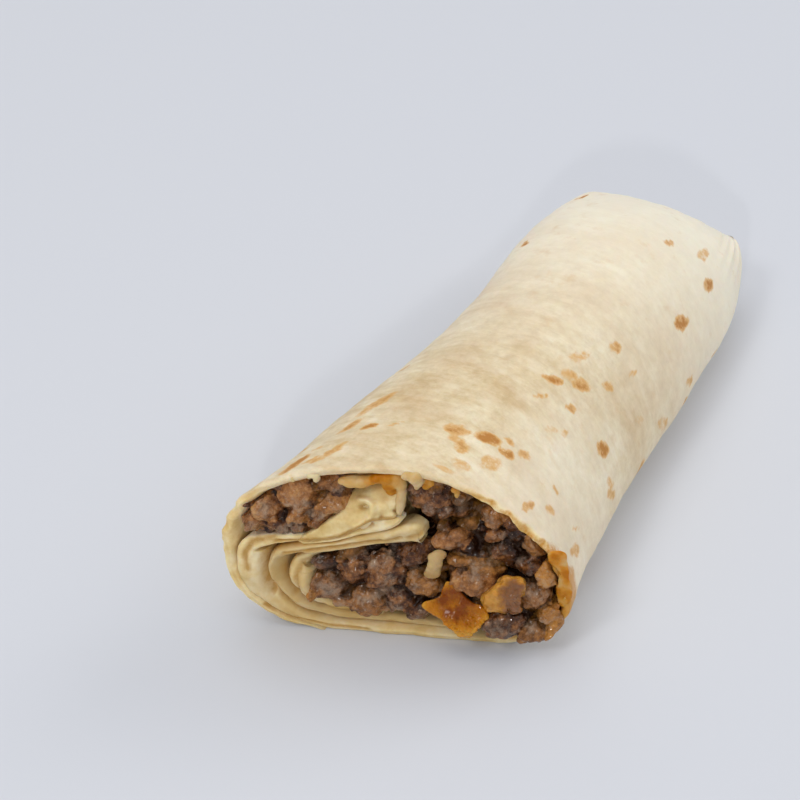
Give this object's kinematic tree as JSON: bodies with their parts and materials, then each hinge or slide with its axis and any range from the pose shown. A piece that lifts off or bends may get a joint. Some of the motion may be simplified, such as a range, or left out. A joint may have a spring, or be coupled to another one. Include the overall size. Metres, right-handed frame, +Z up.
{
  "type": "picadillo burrito half",
  "caption": "Half of a rolled flour-tortilla burrito, cut on a slant to show its seasoned ground beef and melted cheese, closed at its far end.",
  "frame": {"origin": "on the table, under the middle of the half's bounding box", "axes": "+Z up; +Y along the burrito from the cut face to the closed end; +X to the right when looking at the cut face"},
  "size_m": [0.0616, 0.1398, 0.0426],
  "materials": {
    "tortilla": "soft baked wheat flour tortilla, cream with toasted tan spots",
    "beef": "moist browned ground beef",
    "melted_cheese": "melted cheese, cream to orange, glossy",
    "orange_cheese": "translucent orange melted cheese, glossy",
    "glazed_beef": "browned beef under an orange cheese glaze",
    "onion": "soft cooked onion, pale and slightly wet"
  },
  "bodies": {
    "root": {"tortilla": "tortilla", "beef_main": "beef", "beef_upper": "beef", "melted_cheese": "melted_cheese", "cheese_flake": "orange_cheese", "glazed_crumble": "glazed_beef", "onion_shred": "onion"}
  },
  "joints": []
}
